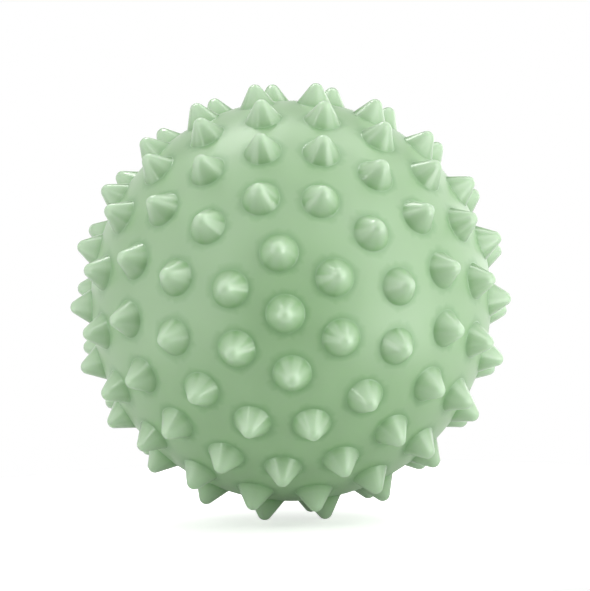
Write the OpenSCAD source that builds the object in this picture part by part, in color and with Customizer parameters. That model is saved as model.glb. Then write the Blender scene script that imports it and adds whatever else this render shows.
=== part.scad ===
// Sensory ball: a hollow skin of soft PVC, cast in one piece with rings of blunt cone spikes,
// and a needle valve in the pole that faces away.
// The origin is the ball's centre. The front pole faces -Y, and the ball stands on three spikes.

/* [Ball] */
// Diameter of the smooth ball between the spikes
body_d = 81.6; // [60:0.1:120]
// Thickness of the skin
wall = 2.8; // [2:0.1:4]
// Width of the fine raised line where the two halves of the mould meet
seam_w = 0.5; // [0.3:0.1:1]
// Height of that line above the ball
seam_h = 0.12; // [0.05:0.01:0.3]

/* [Spikes] */
// Height of a spike above the ball
spike_h = 4.2; // [3:0.1:6]
// Diameter of a spike where its flank runs out into the ball
spike_d = 7.1; // [5:0.1:8]
// Radius of a spike's blunt tip
tip_r = 1.5; // [0.8:0.1:1.8]
// Radius of the fillet round a spike's foot
fillet_r = 0.4; // [0.3:0.1:1.2]
// Turn of the back half's rings against the front half's, in degrees
back_turn = 12.2; // [4:0.1:12.5]

/* [Valve housing] */
// Diameter of the housing's flange, which shows as a disc in the back pole
flange_d = 12.4; // [11:0.1:13]
// Thickness of the flange at its middle
flange_t = 1.8; // [1.5:0.1:2.2]
// How far the flange's face lies below the ball's surface
flange_sink = 0.15; // [0.05:0.05:0.3]
// Diameter of the housing's cup
cup_d = 9; // [8.4:0.1:9.6]
// Depth of the cup below the ball's surface
cup_depth = 9; // [8:0.1:12]
// Thickness of the lip that holds the core's collar
lip_t = 1; // [0.6:0.1:1.2]
// Diameter of the mouth in the lip
mouth_d = 4.8; // [4.2:0.1:5.2]
// Diameter of the pocket for the core's collar
pocket_d = 6.6; // [6:0.1:7]
// Height of that pocket
pocket_h = 1.8; // [1.2:0.1:2.4]
// Diameter of the throat below the pocket
throat_d = 4.6; // [4:0.1:5]
// Thickness that the skin is built up to round the cup
boss_t = 6.4; // [5:0.1:7]
// Diameter of that build-up at its inner end
boss_d = 13; // [12:0.1:15]
// Diameter of that build-up where it runs into the skin
boss_foot_d = 18; // [16:0.1:20]

/* [Valve core] */
// Gap round the core and round the housing
fit_gap = 0.05; // [0.02:0.01:0.1]
// How far the core's face lies below the flange's face
core_sink = 0.3; // [0.1:0.1:0.6]
// Diameter of the needle guide
guide_d = 2.4; // [1.8:0.1:2.6]
// Depth of the needle guide below its funnel
guide_depth = 5; // [3:0.1:6]
// Diameter of the funnel's mouth
funnel_d = 3.4; // [2.8:0.1:3.8]
// Depth of the funnel
funnel_depth = 0.7; // [0.4:0.1:1]
// Diameter of the barb that snaps out behind the cup
barb_d = 5.8; // [5.2:0.1:6.4]
// Length of the barb and nose behind the cup
nose_l = 3.2; // [2.5:0.1:4]
// Diameter of the nose's blunt end
nose_d = 2.6; // [2:0.1:3.2]

/* [Hidden] */
$fn = 96;

skin_colour = "#92b589";
core_colour = "#7b9d73";

// Spikes in each ring of one half, from its pole to the parting line
ring_counts = [1, 6, 12, 17, 20, 22];
// Turn of each ring's first spike about the poles, in degrees
ring_turns = [0, 35, 11.5, 13, 6.5, 0];
// Where surfaces would only touch, they cross by this share of the smaller radius
cross_share = 0.02;

last_ring = len(ring_counts) - 1;
ring_step = 180 / (2 * last_ring + 1);
last_pitch = 360 / ring_counts[last_ring];

body_r = body_d / 2;
inner_r = body_r - wall;

// A spike's flank starts at spike_r on the ball and all but touches the tip's circle
spike_r = spike_d / 2;
tip_z = spike_h - tip_r;
flank_r = tip_r * (1 - cross_share);
flank_angle = atan(spike_r / tip_z) - asin(flank_r / norm([spike_r, tip_z]));
flank_out = [cos(flank_angle), sin(flank_angle)];
flank_top = [0, tip_z] + flank_r * flank_out;
root_depth = fillet_r;

// The fillet's centre lies fillet_gap from the flank and from the ball
fillet_gap = fillet_r * (1 - cross_share);
fillet_start = [spike_r, body_r] + fillet_gap * flank_out;
flank_up = [-sin(flank_angle), cos(flank_angle)];
fillet_b = fillet_start * flank_up;
fillet_c = fillet_start * fillet_start - pow(body_r + fillet_gap, 2);
fillet_rise = -fillet_b + sqrt(pow(fillet_b, 2) - fillet_c);
fillet_at = fillet_start + fillet_rise * flank_up - [0, body_r];
ball_out = (fillet_at + [0, body_r]) / norm(fillet_at + [0, body_r]);
fillet_reach = fillet_r + root_depth / 2;

// The ball stands on two neighbours of the front half's last ring and on the back one nearest to
// the plane between them, so its front pole dips by this angle
rear_offset = back_turn - last_pitch / 2;
stand_tilt = atan(tan(last_ring * ring_step) * (cos(rear_offset) - cos(last_pitch / 2)) / 2);

// Heights along the valve's axis, from the ball's centre
flange_face_z = body_r - flange_sink;
seat_z = body_r - flange_t;
cup_end_z = body_r - cup_depth;
lip_z = flange_face_z - lip_t;
pocket_z = lip_z - pocket_h;
boss_end_z = body_r - boss_t;
core_face_z = flange_face_z - core_sink;
funnel_end_z = core_face_z - funnel_depth;
guide_end_z = funnel_end_z - guide_depth;
cut = wall;

// Turns the ball from its poles on Z to how it stands
module standing() rotate([90 + stand_tilt, 0, 0]) children();

// Puts a piece of the valve on the back pole
module at_back_pole() standing() rotate([180, 0, 0]) children();

// A disc on the Z axis between two heights
module disc(d, low, high) translate([0, 0, low]) cylinder(d = d, h = high - low);

// The concave ring round a spike's foot
module foot_fillet() {
    into_flank = fillet_at - fillet_reach * flank_out;
    into_ball = fillet_at - fillet_reach * ball_out;
    rotate_extrude() difference() {
        polygon([fillet_at, into_flank, into_flank + into_ball - fillet_at, into_ball]);
        translate(fillet_at) circle(r = fillet_r);
    }
}

// One spike, standing on the ball's surface at the origin
module spike() {
    root_r = spike_r + root_depth * tan(flank_angle);
    translate([0, 0, -root_depth])
        cylinder(r1 = root_r, r2 = flank_top[0], h = root_depth + flank_top[1]);
    translate([0, 0, tip_z]) sphere(r = tip_r);
    foot_fillet();
}

// The rings of spikes on the half round +Z, from the given ring to the last
module half_spikes(first_ring) {
    for (ring = [first_ring : last_ring])
        for (i = [0 : ring_counts[ring] - 1])
            rotate([0, ring * ring_step, ring_turns[ring] + i * 360 / ring_counts[ring]])
                translate([0, 0, body_r]) spike();
}

// The outside of the skin: ball, spikes and parting line. Both halves come from the same half mould
module skin_outside() {
    sphere(r = body_r);
    half_spikes(0);
    rotate([0, 0, back_turn]) rotate([180, 0, 0]) half_spikes(1);
    cylinder(r = body_r + seam_h, h = seam_w, center = true);
}

// The build-up of the skin that the valve housing is cast into. It ends halfway into the skin
module valve_boss() {
    translate([0, 0, boss_end_z]) cylinder(d1 = boss_d, d2 = boss_foot_d, h = boss_t - wall / 2);
}

// The stepped hole that the housing fills
module valve_seat() {
    disc(flange_d + 2 * fit_gap, seat_z, body_r + cut);
    disc(cup_d + 2 * fit_gap, boss_end_z - cut, seat_z + cut);
}

module ball_skin() {
    color(skin_colour) difference() {
        union() {
            standing() difference() {
                skin_outside();
                sphere(r = inner_r);
            }
            at_back_pole() valve_boss();
        }
        at_back_pole() valve_seat();
    }
}

module valve_housing() {
    color(skin_colour) at_back_pole() difference() {
        intersection() {
            union() {
                disc(flange_d, seat_z, body_r);
                disc(cup_d, cup_end_z, seat_z);
            }
            sphere(r = flange_face_z);
        }
        disc(mouth_d, lip_z - cut, body_r + cut);
        disc(pocket_d, pocket_z, lip_z);
        disc(throat_d, cup_end_z - cut, pocket_z + cut);
    }
}

module valve_core() {
    nose_z = cup_end_z - nose_l;
    color(core_colour) at_back_pole() difference() {
        union() {
            disc(mouth_d - 2 * fit_gap, pocket_z, core_face_z);
            disc(pocket_d - 2 * fit_gap, pocket_z, lip_z - fit_gap);
            disc(throat_d - 2 * fit_gap, cup_end_z - nose_l / 2, pocket_z);
            translate([0, 0, nose_z])
                cylinder(d1 = nose_d, d2 = barb_d, h = nose_l - fit_gap);
        }
        translate([0, 0, funnel_end_z])
            cylinder(d1 = guide_d, d2 = funnel_d, h = funnel_depth);
        disc(guide_d, guide_end_z, funnel_end_z);
        disc(funnel_d, core_face_z, body_r);
    }
}

ball_skin();
valve_housing();
valve_core();
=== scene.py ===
"""Looks for the sensory ball: a soft skin with rings of blunt spikes, and its needle valve.

Sizes are in millimetres where nothing else is said. Each piece is worked out about the ball's
centre with the poles on the third axis, and then turned to how the ball stands.
"""

import logging
import math
from dataclasses import dataclass
from enum import Enum

import bpy
import numpy as np
from mathutils import Matrix, Vector
from mathutils.geometry import delaunay_2d_cdt

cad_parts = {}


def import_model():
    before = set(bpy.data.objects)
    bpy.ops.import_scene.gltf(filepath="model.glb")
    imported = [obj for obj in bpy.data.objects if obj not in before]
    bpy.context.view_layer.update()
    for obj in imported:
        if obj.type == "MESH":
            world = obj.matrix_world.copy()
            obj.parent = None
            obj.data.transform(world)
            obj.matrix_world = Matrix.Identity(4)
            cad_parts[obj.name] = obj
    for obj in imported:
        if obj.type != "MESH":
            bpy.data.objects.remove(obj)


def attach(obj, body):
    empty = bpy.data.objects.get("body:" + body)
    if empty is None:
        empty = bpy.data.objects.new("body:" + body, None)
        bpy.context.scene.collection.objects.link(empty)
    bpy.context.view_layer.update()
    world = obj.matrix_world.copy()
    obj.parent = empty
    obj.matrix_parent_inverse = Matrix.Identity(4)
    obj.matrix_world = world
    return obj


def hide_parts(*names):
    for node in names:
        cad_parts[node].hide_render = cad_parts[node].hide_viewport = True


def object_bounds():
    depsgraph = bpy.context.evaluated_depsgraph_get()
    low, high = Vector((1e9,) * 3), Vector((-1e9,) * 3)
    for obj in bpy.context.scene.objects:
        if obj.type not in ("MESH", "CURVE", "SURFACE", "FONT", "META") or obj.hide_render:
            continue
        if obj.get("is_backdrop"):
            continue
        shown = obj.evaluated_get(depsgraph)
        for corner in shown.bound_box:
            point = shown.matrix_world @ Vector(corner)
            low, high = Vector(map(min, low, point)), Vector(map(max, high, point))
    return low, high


log = logging.getLogger("sensory_ball")

MM = 0.001
WHITE = (1, 1, 1, 1)
# Pieces that each rounded corner of a profile is cut into
ROUND_STEPS = 5
# Points of the flat net closer than this are one point
SAME_POINT = 1e-9
# Asks for all triangles inside the hull of the points
WHOLE_HULL = 0
# Brings the front pole on the third axis to where the back pole is
OVER = Matrix.Rotation(math.pi, 3, "X")


class Surface(Enum):
    """How a mould left a surface, as the surface's roughness."""

    SATIN = 0.42
    MATTE = 0.55


def linear(hex_colour: str) -> tuple[float, float, float, float]:
    """Turns an sRGB hex colour to the linear colour that shaders take.

    A value c of up to 0.04045 becomes c / 12.92, and any other ((c + 0.055) / 1.055) ** 2.4.

    Args:
        hex_colour: six hex digits after a hash sign.

    Returns:
        Linear red, green and blue, and an alpha of 1.
    """
    srgb = np.array([int(hex_colour[i : i + 2], 16) / 255 for i in (1, 3, 5)])
    low, high = srgb / 12.92, ((srgb + 0.055) / 1.055) ** 2.4
    return (*np.where(srgb <= 0.04045, low, high).tolist(), 1.0)


def add_node(
    tree: bpy.types.NodeTree, kind: str, settings: dict | None = None, links: dict | None = None
) -> bpy.types.Node:
    """Adds one node to a node tree.

    Args:
        tree: the tree that gets the node.
        kind: the node's Blender type.
        settings: values by the name of a property or of an input socket.
        links: output sockets by the name or number of the input that they feed.

    Returns:
        The new node.
    """
    node = tree.nodes.new(kind)
    for name, value in (settings or {}).items():
        if hasattr(node, str(name)):
            setattr(node, name, value)
        else:
            node.inputs[name].default_value = value
    for name, output in (links or {}).items():
        tree.links.new(output, node.inputs[name])
    return node


def new_material(name: str) -> tuple[bpy.types.Material, bpy.types.NodeTree]:
    """Makes an empty node material.

    Args:
        name: the material's name.

    Returns:
        The material and its cleared node tree.
    """
    material = bpy.data.materials.new(name)
    material.use_nodes = True
    material.node_tree.nodes.clear()
    return material, material.node_tree


def mesh_piece(
    name: str,
    points: np.ndarray,
    faces: list[np.ndarray],
    normals: np.ndarray | None = None,
    crease_shade: np.ndarray | None = None,
) -> bpy.types.Object:
    """Makes a smooth-shaded mesh object from whole arrays.

    Args:
        name: the object's and the mesh's name.
        points: one row per vertex, in millimetres.
        faces: arrays of vertex numbers, each array with one face a row.
        normals: one row per vertex; a row of zeros leaves that vertex to Blender.
        crease_shade: how deep in a crease each vertex lies, from 0 to 1, which the material paints
            as shade.

    Returns:
        The object, linked to the scene, at the origin.
    """
    mesh = bpy.data.meshes.new(name)
    corners = np.concatenate([f.ravel() for f in faces]).astype(np.int32)
    sizes = np.concatenate([np.full(len(f), f.shape[1]) for f in faces])
    starts = np.concatenate([[0], np.cumsum(sizes)[:-1]]).astype(np.int32)
    mesh.vertices.add(len(points))
    mesh.vertices.foreach_set("co", (points * MM).astype(np.float32).ravel())
    mesh.loops.add(len(corners))
    mesh.loops.foreach_set("vertex_index", corners)
    mesh.polygons.add(len(sizes))
    mesh.polygons.foreach_set("loop_start", starts)
    mesh.update(calc_edges=True)
    mesh.validate()
    mesh.polygons.foreach_set("use_smooth", np.ones(len(mesh.polygons), bool))
    if normals is not None:
        mesh.normals_split_custom_set_from_vertices(normals.tolist())
    # Painted shade: the crease depth by which the material darkens the colour
    if crease_shade is not None:
        depth = mesh.attributes.new("crease_shade", "FLOAT", "POINT")
        depth.data.foreach_set("value", crease_shade.astype(np.float32))
    piece = bpy.data.objects.new(name, mesh)
    bpy.context.scene.collection.objects.link(piece)
    return piece


def rounded_outline(corners: np.ndarray, closed: bool) -> np.ndarray:
    """Rounds the corners of a profile.

    A corner with radius r and turn a is left at r * tan(a / 2) before it and met again as far after
    it. Between the two, a quadratic curve with the corner as its middle point stands for the arc.

    Args:
        corners: one row per corner: distance from the axis, height, and radius or 0 to keep it
            sharp.
        closed: whether the last corner leads back to the first.

    Returns:
        The rounded profile, one row per point.
    """
    at, radii = corners[:, :2], corners[:, 2]
    before, after = np.roll(at, 1, 0) - at, np.roll(at, -1, 0) - at
    before /= np.linalg.norm(before, axis=1, keepdims=True)
    after /= np.linalg.norm(after, axis=1, keepdims=True)
    turn = math.pi - np.arccos(np.clip((before * after).sum(1), -1, 1))
    reach = (radii * np.tan(turn / 2))[:, None]
    t = np.linspace(0, 1, ROUND_STEPS + 1)[None, :, None]
    start, end = (at + before * reach)[:, None], (at + after * reach)[:, None]
    curve = (1 - t) ** 2 * start + 2 * t * (1 - t) * at[:, None] + t**2 * end
    rows = [c if r > 0 else c[:1] for c, r in zip(curve, radii)]
    if not closed:
        rows[0], rows[-1] = at[:1], at[-1:]
    return np.concatenate(rows)


def copies_round(outline: np.ndarray, segments: int) -> np.ndarray:
    """Repeats a profile round the third axis.

    Point (r, z) goes to (r cos a, r sin a, z) at each of the evenly spaced angles a.

    Args:
        outline: one row per point, distance from the axis and height.
        segments: number of angles.

    Returns:
        The places by point and angle.
    """
    angle = np.arange(segments) * 2 * math.pi / segments
    places = [
        outline[:, :1] * np.cos(angle),
        outline[:, :1] * np.sin(angle),
        np.repeat(outline[:, 1:], segments, 1),
    ]
    return np.stack(places, 2)


def ring_quads(upper: np.ndarray, lower: np.ndarray) -> np.ndarray:
    """Quads between rings of vertices: each vertex, the one below it, and the next of both."""
    corners = [upper, lower, np.roll(lower, -1, -1), np.roll(upper, -1, -1)]
    return np.stack(corners, -1).reshape(-1, 4)


def revolve(
    outline: np.ndarray, segments: int, closed: bool
) -> tuple[np.ndarray, list[np.ndarray]]:
    """Turns a profile about the third axis.

    Its points are repeated by copies_round. A point on the axis at either end of an open profile
    becomes one vertex with a fan of triangles.

    Args:
        outline: one row per point, distance from the axis and height.
        segments: copies round the axis.
        closed: whether the last point leads back to the first.

    Returns:
        The vertices and the arrays of faces.
    """
    axis_start = not closed and outline[0, 0] == 0
    axis_end = not closed and outline[-1, 0] == 0
    body = outline[int(axis_start) : len(outline) - int(axis_end)]
    turned = copies_round(body, segments).reshape(-1, 3)
    rows = np.arange(len(turned)).reshape(len(body), segments)
    upper, lower = (rows, np.roll(rows, -1, 0)) if closed else (rows[:-1], rows[1:])
    faces = [ring_quads(upper, lower)]
    ends = []
    start = (axis_start, rows[0], outline[0], True)
    end = (axis_end, rows[-1], outline[-1], False)
    for on_axis, ring, point, back in (start, end):
        if on_axis:
            tip = np.full(segments, len(turned) + len(ends))
            fan = [tip, ring, np.roll(ring, -1)] if back else [ring, tip, np.roll(ring, -1)]
            faces.append(np.stack(fan, 1))
            ends.append([0, 0, point[1]])
    return np.concatenate([turned, np.array(ends).reshape(-1, 3)]), faces


@dataclass(frozen=True)
class SoftPvc:
    """Soft PVC or rubber as a mould leaves it: it shines softly, and light goes some way into it.

    Attributes:
        name: the material, named for what it is and how it is made.
        colour: the ground between the spikes, where the clouds of pigment are thin.
        deep_colour: the same ground where they are dense.
        tip_light_colour: the tips, painted paler for the light that enters them from all sides.
        crease_shade_colour: painted shade in the corner round a spike's foot.
        surface: how the mould left the ground.
        polish: roughness of the spikes, whose hollows a cutter left smooth in the mould.
        tip_light_mm: distances from the ball's centre where painted tip light begins and is full.
        polished_mm: distances from the ball's centre where polish begins and is full.
        film: weight of the oily film that soft PVC sweats out, a broad sheen over the gloss.
        film_roughness: that film's roughness.
        cloud_mm: size of the clouds, and of the waves that the shrinking skin is left with.
        cloud_detail: octaves of the clouds.
        cloud_mix: share that each octave of the clouds keeps of the one before.
        grain_mm: size of the mould's grain, a few tenths of a millimetre on the real ball and
            drawn coarser here so that it shows at all.
        grain_detail: octaves of the grain.
        grain_mix: share that each octave of the grain keeps of the one before.
        grain_height_mm: height of the grain.
        wave_height_mm: height of the waves.
        shine_spread: how far the clouds move the ground's roughness either way.
        glow_mm: how far red, green and blue light go into the material.
        glow_share: share of the light that goes in.
        ior: index of refraction; PVC has about 1.54, and this ball's gloss asks for more.
    """

    name: str
    colour: str
    deep_colour: str
    tip_light_colour: str
    crease_shade_colour: str
    surface: Surface
    polish: float = 0.2
    tip_light_mm: tuple[float, float] = (40.9, 44.3)
    polished_mm: tuple[float, float] = (40.81, 40.9)
    film: float = 1.0
    film_roughness: float = 0.5
    cloud_mm: float = 14.0
    cloud_detail: float = 3.0
    cloud_mix: float = 0.55
    grain_mm: float = 0.9
    grain_detail: float = 2.0
    grain_mix: float = 0.5
    grain_height_mm: float = 0.012
    wave_height_mm: float = 0.05
    shine_spread: float = 0.03
    glow_mm: tuple[float, float, float] = (0.6, 0.8, 0.5)
    glow_share: float = 0.6
    ior: float = 1.56

    def tint(
        self,
        tree: bpy.types.NodeTree,
        clouds: bpy.types.NodeSocket,
        height: bpy.types.NodeSocket,
    ) -> bpy.types.NodeSocket:
        """Mixes the colour: faint clouds of pigment, painted light on tips, painted shade in
        creases.

        Args:
            tree: the material's node tree.
            clouds: how thin the pigment's clouds are.
            height: distance from the ball's centre.

        Returns:
            The colour.
        """
        tint = add_node(
            tree,
            "ShaderNodeMix",
            {"data_type": "RGBA", 6: linear(self.deep_colour), 7: linear(self.colour)},
            {0: clouds},
        )
        # Painted light: the colour grows paler towards the spikes' tips
        raised = add_node(
            tree,
            "ShaderNodeMapRange",
            {"From Min": self.tip_light_mm[0] * MM, "From Max": self.tip_light_mm[1] * MM},
            {"Value": height},
        )
        # Painted shade: darker in the creases round the spikes' feet
        crease_shade = add_node(tree, "ShaderNodeAttribute", {"attribute_name": "crease_shade"})
        for share, colour in (
            (raised.outputs[0], self.tip_light_colour),
            (crease_shade.outputs["Fac"], self.crease_shade_colour),
        ):
            tint = add_node(
                tree,
                "ShaderNodeMix",
                {"data_type": "RGBA", 7: linear(colour)},
                {0: share, 6: tint.outputs[2]},
            )
        return tint.outputs[2]

    def shine(
        self,
        tree: bpy.types.NodeTree,
        clouds: bpy.types.NodeSocket,
        height: bpy.types.NodeSocket,
    ) -> bpy.types.NodeSocket:
        """Gives the roughness: the clouds vary it on the ground, and the spikes are smoother.

        Args:
            tree: the material's node tree.
            clouds: how thin the pigment's clouds are.
            height: distance from the ball's centre.

        Returns:
            The roughness.
        """
        ground = self.surface.value
        varied = add_node(
            tree,
            "ShaderNodeMapRange",
            {"To Min": ground - self.shine_spread, "To Max": ground + self.shine_spread},
            {"Value": clouds},
        )
        low, high = self.polished_mm
        smoother = add_node(
            tree,
            "ShaderNodeMapRange",
            {"From Min": low * MM, "From Max": high * MM, "To Max": self.polish},
            {"Value": height, "To Min": varied.outputs[0]},
        )
        return smoother.outputs[0]

    def material(self) -> bpy.types.Material:
        """Builds the shader.

        Faint clouds of pigment change the colour, broad waves from the shrinking skin bend the
        reflections, and a fine grain breaks the shine.

        Returns:
            The material.
        """
        material, tree = new_material(self.name)
        place = add_node(tree, "ShaderNodeTexCoord").outputs["Object"]
        away = add_node(tree, "ShaderNodeVectorMath", {"operation": "LENGTH"}, {0: place})
        clouds, grain = (
            add_node(
                tree,
                "ShaderNodeTexNoise",
                {"Scale": 1 / (size_mm * MM), "Detail": detail, "Roughness": mix},
                {"Vector": place},
            ).outputs["Fac"]
            for size_mm, detail, mix in (
                (self.cloud_mm, self.cloud_detail, self.cloud_mix),
                (self.grain_mm, self.grain_detail, self.grain_mix),
            )
        )
        waves = add_node(
            tree,
            "ShaderNodeBump",
            {"Strength": 1.0, "Distance": self.wave_height_mm * MM},
            {"Height": clouds},
        )
        bumps = add_node(
            tree,
            "ShaderNodeBump",
            {"Strength": 1.0, "Distance": self.grain_height_mm * MM},
            {"Height": grain, "Normal": waves.outputs["Normal"]},
        )
        shader = add_node(
            tree,
            "ShaderNodeBsdfPrincipled",
            {
                "IOR": self.ior,
                "Subsurface Weight": self.glow_share,
                "Subsurface Radius": self.glow_mm,
                "Subsurface Scale": MM,
                "Coat Weight": self.film,
                "Coat Roughness": self.film_roughness,
            },
            {
                "Base Color": self.tint(tree, clouds, away.outputs["Value"]),
                "Roughness": self.shine(tree, clouds, away.outputs["Value"]),
                "Normal": bumps.outputs["Normal"],
            },
        )
        add_node(tree, "ShaderNodeOutputMaterial", links={"Surface": shader.outputs["BSDF"]})
        return material


def carry(piece: bpy.types.Object, node: str, finish: SoftPvc) -> None:
    """Gives a piece its finish and puts it in the place of a CAD node.

    Args:
        piece: the piece.
        node: the CAD node that it stands for.
        finish: the piece's finish.
    """
    piece.data.materials.append(finish.material())
    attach(piece, "root")
    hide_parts(node)
    log.info("%s: %d faces for %s", piece.name, len(piece.data.polygons), node)


@dataclass(frozen=True)
class Standing:
    """How the ball stands: from its poles on the third axis to its place on three spikes.

    Attributes:
        tilt_deg: how far the front pole dips, in degrees.
    """

    tilt_deg: float

    def front(self) -> np.ndarray:
        """The turn, as a 3 by 3 matrix, that brings the front pole to face -Y."""
        return np.array(Matrix.Rotation(math.radians(90 + self.tilt_deg), 3, "X"))

    def back(self) -> np.ndarray:
        """The turn, as a 3 by 3 matrix, that brings the third axis to the back pole."""
        return self.front() @ np.array(OVER)


def angle_to_nearest(directions: np.ndarray, axes: np.ndarray) -> np.ndarray:
    """Angle from each direction to its nearest axis: the arc cosine of the largest dot product."""
    return np.arccos(np.clip((directions @ axes.T).max(1), -1, 1))


@dataclass
class BallSkin:
    """The one-piece skin: hollow ball, spikes, parting line and the seat of the valve.

    Attributes:
        body_r: radius of the ball between the spikes.
        wall: thickness of the skin.
        seam_w: how far the parting line's ridge reaches to either side.
        seam_h: height of that ridge.
        spike_h: height of a spike above the ball.
        spike_r: distance from a spike's axis at which its flank would meet the ball.
        tip_r: radius of its blunt tip.
        fillet_r: radius of the fillet round its foot.
        back_turn: turn of the back half's rings against the front half's, in degrees.
        ring_counts: spikes in each ring of one half, from its pole to the parting line.
        ring_turns: turn of each ring's first spike about the poles, in degrees.
        seat_r: radius of the recess for the valve's flange.
        seat_z: height of its floor above the ball's centre.
        seat_edge_r: rounding of its outer edge.
        bore_r: radius of the hole for the valve's cup.
        boss_end_z: height of the inner end of the boss round that hole.
        boss_r: radius of the boss at its inner end.
        boss_foot_r: radius of the boss half a wall below the ball's surface.
        step_round: rounding of the corners in the seat.
        boss_round: rounding of the boss's end.
        tip_steps: points on the profile of a tip.
        flank_steps: steps from there to the fillet.
        flank_ease: power that draws these steps towards the tip.
        fillet_steps: points on the profile of a fillet.
        hollow_steps: points on the profile of the hollow.
        blend: arc to either side of the tip's edge over which the normals ease.
        mark_deg: spread of the turn that the cutter's marks give a normal, in degrees.
        mark_seed: seed of the marks.
        crease_shade_share: depth of the painted shade's narrow line; the rest goes to its halo.
        crease_shade_mm: reach of that painted line and of the halo.
        crease_shade_power: how fast the painted crease shade fades up the flank.
        spike_segments: points round a spike.
        seat_segments: points round the seat.
        seam_rows: rows of points on the parting line.
        spacing: distance between the points that cover the ball between the spikes.
        clear_share: room kept between these and other points, as a share of their spacing.
        seam_share: spacing along the parting line, as a share of theirs.
        finish: what the skin is made of.
    """

    body_r: float = 40.8
    wall: float = 2.8
    seam_w: float = 0.5
    seam_h: float = 0.12
    spike_h: float = 4.2
    spike_r: float = 3.55
    tip_r: float = 1.5
    fillet_r: float = 0.4
    back_turn: float = 12.2
    ring_counts: tuple[int, ...] = (1, 6, 12, 17, 20, 22)
    ring_turns: tuple[float, ...] = (0, 35, 11.5, 13, 6.5, 0)
    seat_r: float = 6.25
    seat_z: float = 39.0
    seat_edge_r: float = 0.25
    bore_r: float = 4.55
    boss_end_z: float = 34.4
    boss_r: float = 6.5
    boss_foot_r: float = 9.0
    step_round: float = 0.15
    boss_round: float = 0.3
    tip_steps: int = 8
    flank_steps: int = 6
    flank_ease: float = 1.5
    fillet_steps: int = 5
    hollow_steps: int = 64
    blend: float = 1.2
    mark_deg: float = 2.0
    mark_seed: int = 11
    crease_shade_share: float = 0.85
    crease_shade_mm: tuple[float, float] = (0.2, 0.7)
    crease_shade_power: int = 9
    spike_segments: int = 28
    seat_segments: int = 96
    seam_rows: int = 5
    spacing: float = 1.15
    clear_share: float = 0.6
    seam_share: float = 0.55
    # Soft PVC gelled against a turning mould: the blasted ground comes out satin, with faint
    # clouds where the paste flowed. The cut spikes come out glossy. Their paler tips are painted
    # light, and the darker corners round their feet painted shade.
    finish: SoftPvc = SoftPvc(
        name="rotocast_soft_pvc",
        colour="#8db282",
        deep_colour="#87ac7c",
        # Painted light on the tips and painted shade in the creases
        tip_light_colour="#aecba7",
        crease_shade_colour="#73a069",
        surface=Surface.SATIN,
    )

    @property
    def ring_step(self) -> float:
        """Degrees from one ring of spikes to the next, the same across the parting line."""
        return 180 / (2 * len(self.ring_counts) - 1)

    def standing(self) -> Standing:
        """How the ball stands.

        It rests on two neighbours in the front half's last ring and on the back half's spike
        nearest to the plane between them. Their tips touch one floor when the poles' axis dips by
        atan(tan(t) * (cos(b) - cos(f)) / 2), with t the last ring's angle from its pole, and f
        and b how far the front and the back spikes lie from the plane between.

        Returns:
            The standing turn.
        """
        pitch = 360 / self.ring_counts[-1]
        last = math.radians((len(self.ring_counts) - 1) * self.ring_step)
        front, back = math.radians(pitch / 2), math.radians(self.back_turn - pitch / 2)
        dip = math.atan(math.tan(last) * (math.cos(back) - math.cos(front)) / 2)
        return Standing(math.degrees(dip))

    def spike_frames(self) -> np.ndarray:
        """Frames of all spikes, with the poles on the third axis.

        A spike at angle t from the pole and p round it has the columns (cos t cos p, cos t sin p,
        -sin t), (-sin p, cos p, 0) and the axis (sin t cos p, sin t sin p, cos t). The back half
        is the front half turned over about the first axis and then by back_turn about the poles,
        with the valve in its pole.

        Returns:
            One 3 by 3 matrix per spike, with the spike's axis as its last column.
        """
        rings = np.repeat(np.arange(len(self.ring_counts)), self.ring_counts)
        order = np.concatenate([np.arange(n) / n for n in self.ring_counts])
        t = np.radians(rings * self.ring_step)
        p = np.radians(np.array(self.ring_turns)[rings] + 360 * order)
        columns = [
            [np.cos(t) * np.cos(p), np.cos(t) * np.sin(p), -np.sin(t)],
            [-np.sin(p), np.cos(p), np.zeros_like(p)],
            [np.sin(t) * np.cos(p), np.sin(t) * np.sin(p), np.cos(t)],
        ]
        front = np.array(columns).transpose(2, 1, 0)
        over = Matrix.Rotation(math.radians(self.back_turn), 3, "Z") @ OVER
        return np.concatenate([front, np.array(over) @ front[1:]])

    def spike_outline(self) -> tuple[np.ndarray, np.ndarray]:
        """Profile of a spike, from its apex to where its fillet meets the ball.

        The tip is an arc of tip_r about the axis. The flank is the straight line from that arc
        through spike_r at the ball's height. The fillet is an arc of fillet_r that touches the
        flank and the ball. The normal leans from the axis by s / tip_r at the arc length s from
        the apex, up to the flank's lean B at S = B tip_r. Within w of S it leans by
        B - (S + w - s)^2 / (4 w tip_r) instead, so that the shine shows no ring there.

        Returns:
            The points, distance from the axis and height above the ball's centre, and their
            normals.
        """
        tip_z = self.spike_h - self.tip_r
        foot_l = math.hypot(self.spike_r, tip_z)
        lean = math.atan(self.spike_r / tip_z) - math.asin(self.tip_r / foot_l)
        out = np.array([math.cos(lean), math.sin(lean)])
        up = np.array([-math.sin(lean), math.cos(lean)])
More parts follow.
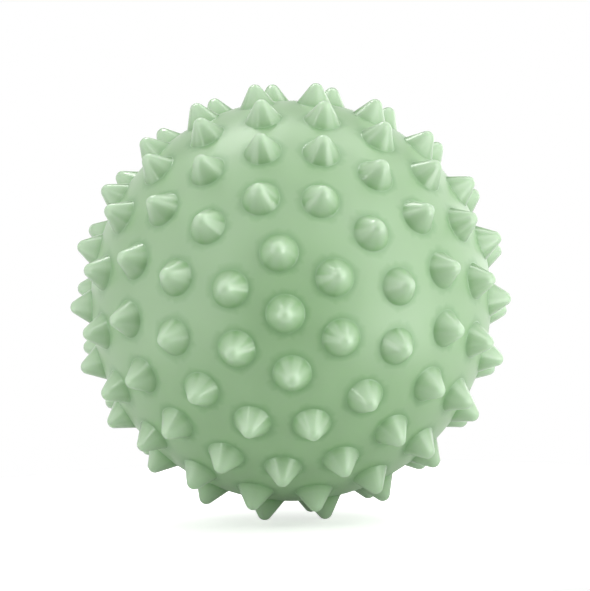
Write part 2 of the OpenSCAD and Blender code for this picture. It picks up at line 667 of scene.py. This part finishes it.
        # The fillet's centre lies fillet_r from the flank's line and from the ball
        offset = np.array([self.spike_r, self.body_r]) + self.fillet_r * out
        along, clear = offset @ up, self.body_r + self.fillet_r
        rise = -along + math.sqrt(along**2 - offset @ offset + clear**2)
        centre = offset + rise * up
        away = -centre / np.linalg.norm(centre)
        first, last = (math.atan2(way[1], way[0]) for way in (-out, away))
        sweep = np.linspace(first, last, self.fillet_steps)
        inward = np.stack([np.cos(sweep), np.sin(sweep)], 1)
        whole = math.pi / 2 - lean
        b = np.linspace(0, whole, self.tip_steps)
        tip_centre = np.array([0, self.body_r + tip_z])
        tip = tip_centre + self.tip_r * np.stack([np.sin(b), np.cos(b)], 1)
        fillet = centre + self.fillet_r * inward
        length = np.linalg.norm(fillet[0] - tip[-1])
        run = length * np.linspace(0, 1, self.flank_steps + 1)[1:-1] ** self.flank_ease
        flank = tip[-1] + (fillet[0] - tip[-1]) * (run / length)[:, None]
        s = np.concatenate([self.tip_r * b, self.tip_r * whole + run])
        left = np.clip(self.tip_r * whole + self.blend - s, 0, 2 * self.blend)
        eased = whole - left**2 / (4 * self.blend * self.tip_r)
        leans = np.where(left < 2 * self.blend, eased, s / self.tip_r)
        convex = np.stack([np.sin(leans), np.cos(leans)], 1)
        return np.concatenate([tip, flank, fillet]), np.concatenate([convex, -inward])

    def on_spikes(self, frames: np.ndarray, outline: np.ndarray) -> np.ndarray:
        """Places of a profile's copies round every spike's axis, by spike, point and angle."""
        return np.einsum("sij,raj->srai", frames, copies_round(outline, self.spike_segments))

    def filler(self, feet: np.ndarray, foot_angle: float) -> np.ndarray:
        """Directions that cover the ball between the spikes.

        Point i of n lies at height 1 - (2i + 1) / n and turns by the golden angle, pi (3 - sqrt 5),
        from the one before. In an even net each has an area of spacing^2 sqrt(3) / 2, which gives
        n. Those inside or close to a foot, the valve's seat or the parting line are left out.

        Args:
            feet: unit axes of the spikes.
            foot_angle: the feet's angle from their axis, in radians.

        Returns:
            One unit row per point, with the poles on the third axis.
        """
        count = int(4 * math.pi * self.body_r**2 / (self.spacing**2 * math.sqrt(3) / 2))
        i = np.arange(count)
        z = 1 - (2 * i + 1) / count
        turn = i * math.pi * (3 - math.sqrt(5))
        flat = np.sqrt(1 - z * z)
        points = np.stack([flat * np.cos(turn), flat * np.sin(turn), z], 1)
        margin = self.clear_share * self.spacing / self.body_r
        off_feet = (points @ feet.T).max(1) < math.cos(foot_angle + margin)
        seat_angle = math.asin((self.seat_r + self.seat_edge_r) / self.body_r) + margin
        seam_angle = self.seam_w / self.body_r + margin
        return points[off_feet & (-z < math.cos(seat_angle)) & (abs(z) > math.sin(seam_angle))]

    def seam_points(self) -> np.ndarray:
        """Directions on the parallels that carry the parting line's low ridge.

        The rows lie at even shares from -1 to 1 of seam_w, and every second one is turned by half
        a step.

        Returns:
            One unit row per point, with the poles on the third axis.
        """
        share = np.linspace(-1, 1, self.seam_rows)[:, None]
        count = int(2 * math.pi * self.body_r / (self.seam_share * self.spacing))
        turn = 2 * math.pi * (np.arange(count)[None] + share % 1) / count
        z = np.repeat(share * self.seam_w / self.body_r, count, 1)
        flat = np.sqrt(1 - z * z)
        return np.stack([flat * np.cos(turn), flat * np.sin(turn), z], 2).reshape(-1, 3)

    def seat_outline(self) -> np.ndarray:
        """Profile of the seat, the boss and the hollow, from the ball's surface inwards.

        The boss's side is a straight line, from boss_r at its inner end to boss_foot_r half a wall
        below the ball's surface. It is followed to where it meets the hollow, which is the sphere
        of radius body_r - wall.

        Returns:
            One row per point, distance from the back pole's axis and height along it.
        """
        inner = self.body_r - self.wall
        rim_r = self.seat_r + self.seat_edge_r
        rim_z = math.sqrt(self.body_r**2 - rim_r**2)
        start = np.array([self.boss_r, self.boss_end_z])
        foot = np.array([self.boss_foot_r, self.body_r - self.wall / 2])
        slope = foot - start
        b = start @ slope / (slope @ slope)
        reach = -b + math.sqrt(b * b - (start @ start - inner**2) / (slope @ slope))
        meet = start + reach * slope
        corners = [
            [rim_r, rim_z, 0],
            [self.seat_r, rim_z, self.seat_edge_r],
            [self.seat_r, self.seat_z, self.step_round],
            [self.bore_r, self.seat_z, self.step_round],
            [self.bore_r, self.boss_end_z, self.step_round],
            [*start, self.boss_round],
            [*meet, 0],
        ]
        t = np.linspace(math.atan2(*meet), math.pi, self.hollow_steps)[1:]
        hollow = np.stack([inner * np.sin(t), inner * np.cos(t)], 1)
        hollow[-1, 0] = 0
        return np.concatenate([rounded_outline(np.array(corners), closed=False), hollow])

    def tool_marks(self, frames: np.ndarray, normals: np.ndarray) -> np.ndarray:
        """Turns the normals of the spikes as the lengthwise marks of the mould's cutter do.

        Along one line from apex to foot, the normal n turns by one small angle w about the
        spike's axis k: n + w (k x n).

        Args:
            frames: the spikes' frames.
            normals: by spike, row and angle.

        Returns:
            The turned normals in the same order.
        """
        lines = (len(frames), 1, normals.shape[2], 1)
        draws = np.random.default_rng(self.mark_seed)
        angle = draws.normal(0, math.radians(self.mark_deg), lines)
        return normals + angle * np.cross(frames[:, None, None, :, 2], normals)

    def crease_shade(self, gap: np.ndarray) -> np.ndarray:
        """How deep in the crease round a spike's foot a point of the ball lies, as painted shade.

        With g the gap to the nearest foot, it is n exp(-g / a) + (1 - n) exp(-g / b): a narrow
        line of painted shade in the corner and a broad painted halo round it.

        Args:
            gap: distance to the nearest foot along the ball, in millimetres.

        Returns:
            Values from 0 to 1.
        """
        g = np.maximum(gap, 0)
        near, far = self.crease_shade_mm
        return self.crease_shade_share * np.exp(-g / near) + (1 - self.crease_shade_share) * np.exp(-g / far)

    def net(self, points: np.ndarray, foot_points: int) -> np.ndarray:
        """Covers the ball between the feet with triangles.

        They are those that leave no point inside their circles. Seen from the back pole, a circle
        on the ball stays a circle on the flat plane (x, y) / (1 + z), so they are found there.
        Triangles within one foot are left out.

        Args:
            points: points on the ball, with the feet's first.
            foot_points: how many of them are on the feet.

        Returns:
            One row of three vertex numbers per triangle, which faces outwards.
        """
        flat = points[:, :2] / (self.body_r + points[:, 2:])
        places = [Vector(place) for place in flat.tolist()]
        _, _, found, origins, _, _ = delaunay_2d_cdt(places, [], [], WHOLE_HULL, SAME_POINT)
        source = np.array([origin[0] for origin in origins])
        triangles = source[np.array(found)]
        foot_of = np.where(triangles < foot_points, triangles // self.spike_segments, -1)
        inside_foot = (foot_of[:, 0] >= 0) & (foot_of == foot_of[:, :1]).all(1)
        triangles = triangles[~inside_foot]
        a, b, c = (points[triangles[:, k]] for k in range(3))
        facing = (np.cross(b - a, c - a) * (a + b + c)).sum(1)
        return np.where((facing < 0)[:, None], triangles[:, ::-1], triangles)

    def raised_seam(
        self, points: np.ndarray, direction: np.ndarray
    ) -> tuple[np.ndarray, np.ndarray]:
        """Raises the parting line's ridge out of the ball.

        At the height u seam_w above the parting line it is seam_h (1 - u^2)^2 high, so it slopes
        by -4 u (1 - u^2) seam_h / seam_w, and the normal leans from the direction by as much.

        Args:
            points: points on the ball.
            direction: their directions from its centre.

        Returns:
            The raised points and the normals there.
        """
        across = direction[:, 2] * self.body_r / self.seam_w
        bump = np.clip(1 - across**2, 0, 1)
        slope = np.where(bump > 0, -4 * across * bump * self.seam_h / self.seam_w, 0)
        raised = direction * (self.body_r + self.seam_h * bump[:, None] ** 2)
        north = np.array([0, 0, 1]) - direction[:, 2:] * direction
        normals = direction - slope[:, None] * north
        return np.where((bump > 0)[:, None], raised, points), normals

    def spike_faces(self, spikes: int, rings: int, first: int) -> list[np.ndarray]:
        """Faces of the spikes: quads from ring to ring down to the feet, and a fan at each apex.

        The feet's rings are the first vertices of all, and the apexes follow the other rings.

        Args:
            spikes: number of spikes.
            rings: rings of vertices between a spike's apex and its foot.
            first: number of the first vertex on these rings.

        Returns:
            The arrays of faces.
        """
        segments = self.spike_segments
        body = (np.arange(spikes * rings * segments) + first).reshape(spikes, rings, segments)
        feet = np.arange(spikes * segments).reshape(spikes, 1, segments)
        rows = np.concatenate([body, feet], 1)
        top = rows[:, 0]
        apex = np.repeat((np.arange(spikes) + first + body.size)[:, None], segments, 1)
        fans = np.stack([apex, top, np.roll(top, -1, 1)], 2).reshape(-1, 3)
        return [ring_quads(rows[:, :-1], rows[:, 1:]), fans]

    def shell(self) -> bpy.types.Object:
        """Builds the skin as one closed mesh.

        The net covers the ball between the feet. The spikes, the seat and the hollow join on at
        shared rings.

        Returns:
            The skin.
        """
        # The ball between the feet
        frames = self.spike_frames()
        axes = frames[:, :, 2]
        outline, outline_n = self.spike_outline()
        feet = self.on_spikes(frames, outline[-1:]).reshape(-1, 3)
        foot_angle = math.atan2(*outline[-1])
        seat, seat_faces = revolve(self.seat_outline(), self.seat_segments, closed=False)
        seat = seat @ np.array(OVER).T
        rim, inside = seat[: self.seat_segments], seat[self.seat_segments :]
        cover = np.concatenate([self.filler(axes, foot_angle), self.seam_points()]) * self.body_r
        outer = np.concatenate([feet, rim, cover])
        triangles = self.net(outer, len(feet))
        direction = outer / np.linalg.norm(outer, axis=1, keepdims=True)
        outer, outer_n = self.raised_seam(outer, direction)

        # The spikes, the seat and the hollow
        body = self.on_spikes(frames, outline[1:-1]).reshape(-1, 3)
        body_n = self.tool_marks(frames, self.on_spikes(frames, outline_n[1:-1])).reshape(-1, 3)
        points = np.concatenate([outer, body, axes * outline[0, 1], inside])
        normals = np.concatenate([outer_n, body_n, axes, np.zeros_like(inside)])
        spike_faces = self.spike_faces(len(frames), len(outline) - 2, len(outer))
        past_rim = len(points) - len(seat)
        seat_faces = [
            np.where(f < self.seat_segments, f + len(feet), f + past_rim) for f in seat_faces
        ]

        # The painted shade in the creases round the feet and up the flanks
        gap = (angle_to_nearest(direction, axes) - foot_angle) * self.body_r
        down = self.body_r + self.spike_h - outline[1:-1, 1]
        on_flank = self.crease_shade_share * (down / down[-1]) ** self.crease_shade_power
        on_spikes = np.tile(np.repeat(on_flank, self.spike_segments), len(frames))
        crease_shade = np.concatenate([self.crease_shade(gap), on_spikes, np.zeros(len(axes) + len(inside))])
        turn = self.standing().front().T
        faces = [triangles, *spike_faces, *seat_faces]
        return mesh_piece("soft_skin", points @ turn, faces, normals @ turn, crease_shade)

    def build(self) -> None:
        """Builds the skin and dresses it."""
        carry(self.shell(), "ball_skin", self.finish)


@dataclass
class NeedleValve:
    """The valve in the back pole: a moulded housing, and a rubber core that a needle pierces.

    Attributes:
        face_z: radius of the sphere about the ball's centre that the flange's face is a part of.
        seat_z: height of the flange's underside above the ball's centre.
        cup_end_z: height of the cup's inner end.
        flange_r: radius of the flange.
        cup_r: radius of the cup.
        lip_t: thickness of the lip that holds the core's collar.
        mouth_r: radius of the mouth in the lip.
        pocket_r: radius of the pocket for the collar.
        pocket_h: height of that pocket.
        throat_r: radius of the throat below it.
        fit_gap: gap round the core.
        core_sink: how far the core's face lies below the flange's.
        guide_r: radius of the needle guide.
        guide_depth: depth of the needle guide below its funnel.
        funnel_r: radius of the funnel's mouth.
        funnel_depth: depth of the funnel.
        barb_r: radius of the barb that snaps out behind the cup.
        nose_l: length of barb and nose behind the cup.
        nose_r: radius of the nose's blunt end.
        edge_round: rounding of the flange's rim and the cup's end.
        mouth_round: rounding of the mouth's edge.
        rim_round: rounding of the core's face and barb.
        nose_round: rounding of the nose.
        step_round: rounding of the steps outside and of the core's collar.
        fine_round: rounding of the steps inside.
        face_steps: points on the profile of the flange's face.
        segments: copies of a profile round the axis.
        housing_finish: what the housing is made of.
        core_finish: what the core is made of.
    """

    face_z: float = 40.65
    seat_z: float = 39.0
    cup_end_z: float = 31.8
    flange_r: float = 6.2
    cup_r: float = 4.5
    lip_t: float = 1.0
    mouth_r: float = 2.4
    pocket_r: float = 3.3
    pocket_h: float = 1.8
    throat_r: float = 2.3
    fit_gap: float = 0.05
    core_sink: float = 0.3
    guide_r: float = 1.2
    guide_depth: float = 5.0
    funnel_r: float = 1.7
    funnel_depth: float = 0.7
    barb_r: float = 2.9
    nose_l: float = 3.2
    nose_r: float = 1.3
    edge_round: float = 0.3
    mouth_round: float = 0.25
    rim_round: float = 0.2
    nose_round: float = 0.4
    step_round: float = 0.15
    fine_round: float = 0.1
    face_steps: int = 6
    segments: int = 96
    # Soft PVC shot into a closed mould: even in colour, and duller than the cast skin round it.
    housing_finish: SoftPvc = SoftPvc(
        name="injection_moulded_soft_pvc",
        colour="#93b58a",
        deep_colour="#8db084",
        tip_light_colour="#93b58a",
        crease_shade_colour="#93b58a",
        surface=Surface.MATTE,
    )
    # Rubber pressed in a hot mould: darker and dull, and so dense that hardly any light goes in.
    core_finish: SoftPvc = SoftPvc(
        name="compression_moulded_rubber",
        colour="#7b9d73",
        deep_colour="#75976d",
        tip_light_colour="#7b9d73",
        crease_shade_colour="#7b9d73",
        surface=Surface.MATTE,
        glow_share=0.05,
    )

    def turned(
        self, name: str, outline: np.ndarray, standing: Standing, closed: bool
    ) -> bpy.types.Object:
        """Turns a profile, which may be a closed ring, into a piece on the back pole's axis."""
        points, faces = revolve(outline, self.segments, closed)
        return mesh_piece(name, points @ standing.back().T, faces)

    def housing(self, standing: Standing) -> bpy.types.Object:
        """Builds the housing: flange flush in the ball, cup, lip and pocket.

        The flange's face lies at the height sqrt(face_z^2 - r^2), r from the axis.

        Args:
            standing: how the ball stands.

        Returns:
            The housing.
        """
        lip_z = self.face_z - self.lip_t
        pocket_z = lip_z - self.pocket_h
        r = np.linspace(self.mouth_r, self.flange_r, self.face_steps)
        face = np.stack([r, np.sqrt(self.face_z**2 - r**2), np.zeros_like(r)], 1)
        face[[0, -1], 2] = self.mouth_round, self.edge_round
        rest = [
            [self.flange_r, self.seat_z, self.step_round],
            [self.cup_r, self.seat_z, self.step_round],
            [self.cup_r, self.cup_end_z, self.edge_round],
            [self.throat_r, self.cup_end_z, self.step_round],
            [self.throat_r, pocket_z, self.fine_round],
            [self.pocket_r, pocket_z, self.fine_round],
            [self.pocket_r, lip_z, self.fine_round],
            [self.mouth_r, lip_z, self.fine_round],
        ]
        outline = rounded_outline(np.concatenate([face, rest]), closed=True)
        return self.turned("valve_flange", outline, standing, closed=True)

    def core(self, standing: Standing) -> bpy.types.Object:
        """Builds the core: funnel and needle guide, collar, throat, barb and nose.

        Args:
            standing: how the ball stands.

        Returns:
            The core.
        """
        gap = self.fit_gap
        top_z = self.face_z - self.core_sink
        guide_z = top_z - self.funnel_depth
        guide_end_z = guide_z - self.guide_depth
        lip_z = self.face_z - self.lip_t - gap
        pocket_z = lip_z + gap - self.pocket_h
        throat_r = self.throat_r - gap
        barb_z = self.cup_end_z - gap
        nose_z = self.cup_end_z - self.nose_l
        corners = [
            [0, guide_end_z, 0],
            [self.guide_r, guide_end_z, self.fine_round],
            [self.guide_r, guide_z, self.step_round],
            [self.funnel_r, top_z, self.rim_round],
            [self.mouth_r - gap, top_z, self.rim_round],
            [self.mouth_r - gap, lip_z, self.fine_round],
            [self.pocket_r - gap, lip_z, self.step_round],
            [self.pocket_r - gap, pocket_z, self.step_round],
            [throat_r, pocket_z, self.fine_round],
            [throat_r, barb_z, self.fine_round],
            [self.barb_r, barb_z, self.rim_round],
            [self.nose_r, nose_z, self.nose_round],
            [0, nose_z, 0],
        ]
        outline = rounded_outline(np.array(corners), closed=False)
        return self.turned("valve_plug", outline, standing, closed=False)

    def build(self, standing: Standing) -> None:
        """Builds and dresses the housing and the core in the back pole of the standing ball."""
        carry(self.housing(standing), "valve_housing", self.housing_finish)
        carry(self.core(standing), "valve_core", self.core_finish)


@dataclass(frozen=True)
class SoftBox:
    """A soft box of the studio, turned to the ball.

    Attributes:
        name: the lamp's name.
        azimuth_deg: where it stands round the ball, from 0 at -Y, the camera's side, towards +X.
        elevation_deg: how high it stands.
        width_deg: its width as the ball sees it.
        height_deg: its height as the ball sees it.
        radiance: how bright it is, where 1 looks white.
        distance: its distance from the ball, in metres.
    """

    name: str
    azimuth_deg: float
    elevation_deg: float
    width_deg: float
    height_deg: float
    radiance: float
    distance: float = 0.9

    def build(self) -> bpy.types.Object:
        """Builds the lamp.

        An angle a as the ball sees it is 2 distance tan(a / 2) across, and the power is
        pi * area * radiance.

        Returns:
            The lamp's object.
        """
        lamp = bpy.data.lights.new(self.name, "AREA")
        width, height = (
            2 * self.distance * math.tan(math.radians(a / 2))
            for a in (self.width_deg, self.height_deg)
        )
        lamp.shape, lamp.size, lamp.size_y = "RECTANGLE", width, height
        lamp.energy = math.pi * width * height * self.radiance
        box = bpy.data.objects.new(self.name, lamp)
        a, e = math.radians(self.azimuth_deg), math.radians(self.elevation_deg)
        away = Vector((math.sin(a) * math.cos(e), -math.cos(a) * math.cos(e), math.sin(e)))
        box.location = away * self.distance
        box.rotation_euler = away.to_track_quat("Z", "Y").to_euler()
        box.visible_camera = False
        bpy.context.scene.collection.objects.link(box)
        return box


@dataclass(frozen=True)
class Card:
    """A dark board across the Y axis. The camera doesn't show it, but the ball mirrors it.

    Attributes:
        name: the board's name.
        place: where it crosses the Y axis, in metres.
        width: its width, in metres.
        span: heights of its lower and upper edge, in metres.
        shade: how bright it looks, where 1 is white.
    """

    name: str
    place: float
    width: float
    span: tuple[float, float]
    shade: float

    def build(self) -> bpy.types.Object:
        """Builds the board, which gives off the light that it would throw back.

        Returns:
            The board's object.
        """
        low, high = self.span
        x = np.array([-1, 1, 1, -1]) * self.width / 2
        corners = np.stack([x, np.full(4, self.place), np.array([low, low, high, high])], 1)
        board = mesh_piece(self.name, corners / MM, [np.arange(4)[None]])
        material, tree = new_material(self.name)
        faint = add_node(tree, "ShaderNodeEmission", {"Color": WHITE, "Strength": self.shade})
        add_node(tree, "ShaderNodeOutputMaterial", links={"Surface": faint.outputs[0]})
        board.data.materials.append(material)
        board.visible_camera = False
        board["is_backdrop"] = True
        return board


@dataclass(frozen=True)
class Studio:
    """The white studio: backdrop, floor, soft boxes, dark boards and camera.

    Attributes:
        boxes: the soft boxes.
        cards: the dark boards, which give the shine its dark parts.
        ambient: how brightly the white room lights the ball.
        floor_bounce: how much light the floor's paper throws back to the ball.
        floor_glow: what it gives off besides, to all but the camera.
        floor_seen: how much light it throws back to the camera.
        floor_lift: what it gives off to the camera at lift_at: a dip that partly paints the shadow.
        lift_at: the middle of that dip of painted shadow in X and Y, in metres.
        lift_squeeze: what X counts for in distances from there, against Y.
        lift_reach: distances from there where the lift starts to grow and is full, in metres.
        floor_r: radius of the floor, in metres.
        floor_points: points on its edge.
        distance: distance from the camera to the ball's centre, in metres.
        focal_px: focal length in pixels of the photograph.
        frame_px: width and height of the photograph.
        ball_px: where the ball's centre lies in it.
        pole_in_view: direction of the front pole as the camera sees it: to the right, up and
            towards the camera.
        roll_deg: turn of the ball about the poles, in degrees.
        clip: nearest and furthest that the camera shows, in metres.
    """

    # Name, azimuth, elevation, width and height in degrees, and radiance
    boxes: tuple[SoftBox, ...] = (
        SoftBox("right_key", 66, 10, 40, 76, 1.85),
        SoftBox("right_strip", 43, 14, 10, 64, 1.2),
        SoftBox("right_edge", 100, 5, 30, 80, 0.5),
        SoftBox("right_low", 65, -15, 50, 26, 1.4),
        SoftBox("left_strip", -41, 14, 5, 60, 6.6),
        SoftBox("left_fill", -76, 12, 40, 72, 1.0),
        SoftBox("left_low", -70, -15, 50, 26, 0.5),
        SoftBox("front_top", 10, 48, 80, 30, 1.0),
        SoftBox("top_left", -70, 60, 60, 24, 0.5),
        SoftBox("top_right", 80, 60, 60, 24, 0.55),
        SoftBox("overhead", 0, 88, 50, 50, 0.3),
        SoftBox("rear_left", -147, 62, 24, 12, 6.0),
        SoftBox("rear_right", 134, 62, 24, 12, 2.2),
        SoftBox("back_top", 180, 62, 60, 20, 0.5),
        SoftBox("back_right", 140, 20, 40, 40, 0.85),
    )
    # Name, place, width, span and shade
    cards: tuple[Card, ...] = (
        Card("black_cloth", -0.62, 0.70, (-0.6, 0.12), 0.4),
        Card("dark_gap", 0.45, 0.9, (0.3, 0.6), 0.05),
    )
    ambient: float = 0.22
    floor_bounce: float = 0.85
    floor_glow: float = 0.06
    floor_seen: float = 0.8
    # Partly painted shadow: the lift dips in front of the ball and deepens its shadow there
    floor_lift: float = 0.49
    lift_at: tuple[float, float] = (0.002, -0.026)
    lift_squeeze: float = 0.55
    lift_reach: tuple[float, float] = (0.004, 0.052)
    floor_r: float = 0.11
    floor_points: int = 128
    distance: float = 0.4794
    focal_px: float = 2341.7
    frame_px: tuple[int, int] = (590, 591)
    ball_px: tuple[float, float] = (291.0, 301.0)
    pole_in_view: tuple[float, float, float] = (-0.026, -0.060, 1.0)
    roll_deg: float = 1.18
    clip: tuple[float, float] = (0.01, 20)

    def seen(self, tree: bpy.types.NodeTree) -> bpy.types.NodeSocket:
        """Tells the rays that show the room from those that light the ball.

        It is 1 for a ray from the camera, a reflection or something clear, and 0 for others.

        Args:
            tree: the node tree that asks.

        Returns:
            The socket.
        """
        rays = add_node(tree, "ShaderNodeLightPath").outputs
        seen = rays["Is Camera Ray"]
        for kind in ("Is Glossy Ray", "Is Transmission Ray"):
            either = {0: seen, 1: rays[kind]}
            seen = add_node(tree, "ShaderNodeMath", {"operation": "MAXIMUM"}, either).outputs[0]
        return seen

    def build_world(self) -> None:
        """Makes the world: white where it is seen or mirrored, and dimmer where it lights."""
        world = bpy.data.worlds.new("white_studio")
        world.use_nodes = True
        tree = world.node_tree
        tree.nodes.clear()
        strength = add_node(
            tree,
            "ShaderNodeMapRange",
            {"To Min": self.ambient, "To Max": 1.0},
            {"Value": self.seen(tree)},
        )
        white = add_node(
            tree, "ShaderNodeBackground", {"Color": WHITE}, {"Strength": strength.outputs[0]}
        )
        add_node(tree, "ShaderNodeOutputWorld", links={"Surface": white.outputs[0]})
        bpy.context.scene.world = world

    def lift(self, tree: bpy.types.NodeTree) -> bpy.types.NodeSocket:
        """What the paper gives off to the camera, by place.

        It is floor_lift at lift_at and grows to 1 with the distance sqrt((squeeze x)^2 + y^2)
        from there, so that the floor runs into the backdrop with no edge. The dip is partly
        painted shadow: the lamps cast the ball's shadow, and the dip sets where it shows and
        deepens it there.

        Args:
            tree: the paper's node tree.

        Returns:
            The socket.
        """
        place = add_node(tree, "ShaderNodeTexCoord").outputs["Object"]
        squeezed = add_node(
            tree,
            "ShaderNodeVectorMath",
            {"operation": "MULTIPLY", 1: (self.lift_squeeze, 1, 0)},
            {0: place},
        )
        x, y = self.lift_at
        away = add_node(
            tree,
            "ShaderNodeVectorMath",
            {"operation": "DISTANCE", 1: (self.lift_squeeze * x, y, 0)},
            {0: squeezed.outputs[0]},
        )
        lift = add_node(
            tree,
            "ShaderNodeMapRange",
            {
                "interpolation_type": "SMOOTHSTEP",
                "From Min": self.lift_reach[0],
                "From Max": self.lift_reach[1],
                "To Min": self.floor_lift,
                "To Max": 1.0,
            },
            {"Value": away.outputs["Value"]},
        )
        return lift.outputs[0]

    def paper(self) -> bpy.types.Material:
        """Makes the floor's paper.

        It is matt, so it takes the ball's shadow, and what it gives off keeps the rest of it
        white to the camera. From below it is clear, so that the ball's underside shows.

        Returns:
            The material.
        """
        material, tree = new_material("white_seamless_paper")
        to_camera = add_node(tree, "ShaderNodeLightPath").outputs["Is Camera Ray"]
        shade = add_node(
            tree,
            "ShaderNodeMapRange",
            {"To Min": self.floor_bounce, "To Max": self.floor_seen},
            {"Value": to_camera},
        )
        matt = add_node(tree, "ShaderNodeBsdfDiffuse", links={"Color": shade.outputs[0]})
        given = add_node(
            tree,
            "ShaderNodeMapRange",
            {"To Min": self.floor_glow},
            {"Value": to_camera, "To Max": self.lift(tree)},
        )
        glow = add_node(
            tree, "ShaderNodeEmission", {"Color": WHITE}, {"Strength": given.outputs[0]}
        )
        above = add_node(
            tree, "ShaderNodeAddShader", links={0: matt.outputs[0], 1: glow.outputs[0]}
        )
        below = add_node(tree, "ShaderNodeBsdfTransparent")
        side = add_node(tree, "ShaderNodeNewGeometry").outputs["Backfacing"]
        sheet = add_node(
            tree, "ShaderNodeMixShader", links={0: side, 1: above.outputs[0], 2: below.outputs[0]}
        )
        add_node(tree, "ShaderNodeOutputMaterial", links={"Surface": sheet.outputs[0]})
        return material

    def build_floor(self, floor_z: float) -> None:
        """Makes the floor, a round sheet of paper.

        Args:
            floor_z: the floor's height, in metres.
        """
        turn = np.linspace(0, 2 * math.pi, self.floor_points, endpoint=False)
        edge = np.stack([np.cos(turn), np.sin(turn), np.zeros_like(turn)], 1) * self.floor_r / MM
        floor = mesh_piece("paper_floor", edge + [0, 0, floor_z / MM], [np.arange(len(turn))[None]])
        floor.data.materials.append(self.paper())
        floor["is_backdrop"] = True

    def build_camera(self, standing: Standing) -> None:
        """Places the camera as the photograph was taken.

        The columns of seen are, as the camera sees them, a level direction square to the front
        pole, the one square to both, and the pole. The ball's own frame, turned by roll_deg about
        the poles, gives the same three in the world.

        Args:
            standing: how the ball stands.
        """
        pole = np.array(self.pole_in_view) / np.linalg.norm(self.pole_in_view)
        level = np.cross([0, 1, 0], pole)
        level /= np.linalg.norm(level)
        seen = np.stack([level, np.cross(pole, level), pole], 1)
        roll = np.array(Matrix.Rotation(-math.radians(self.roll_deg), 3, "Z"))
        turn = standing.front() @ roll @ seen.T
        camera = bpy.data.cameras.new("camera")
        width, height = self.frame_px
        longer = max(width, height)
        camera.lens = self.focal_px * camera.sensor_width / longer
        camera.shift_x = (width / 2 - self.ball_px[0]) / longer
        camera.shift_y = (self.ball_px[1] - height / 2) / longer
        camera.clip_start, camera.clip_end = self.clip
        view = bpy.data.objects.new("camera", camera)
        place = Matrix(turn.tolist()).to_4x4()
        place.translation = Vector((turn @ np.array([0, 0, self.distance])).tolist())
        view.matrix_world = place
        bpy.context.scene.collection.objects.link(view)
        bpy.context.scene.camera = view

    def build(self, standing: Standing, floor_z: float) -> None:
        """Builds the whole studio.

        Args:
            standing: how the ball stands.
            floor_z: the floor's height, in metres.
        """
        self.build_world()
        self.build_floor(floor_z)
        for prop in (*self.boxes, *self.cards):
            prop.build()
        self.build_camera(standing)
        bpy.context.scene.view_settings.view_transform = "Standard"


def main() -> None:
    """Builds the ball and the studio around it."""
    logging.basicConfig(level=logging.INFO, format="%(name)s: %(message)s")
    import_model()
    cad_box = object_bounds()
    skin = BallSkin()
    standing = skin.standing()
    skin.build()
    NeedleValve().build(standing)
    Studio().build(standing, cad_box[0].z)


if __name__ == "__main__":
    main()
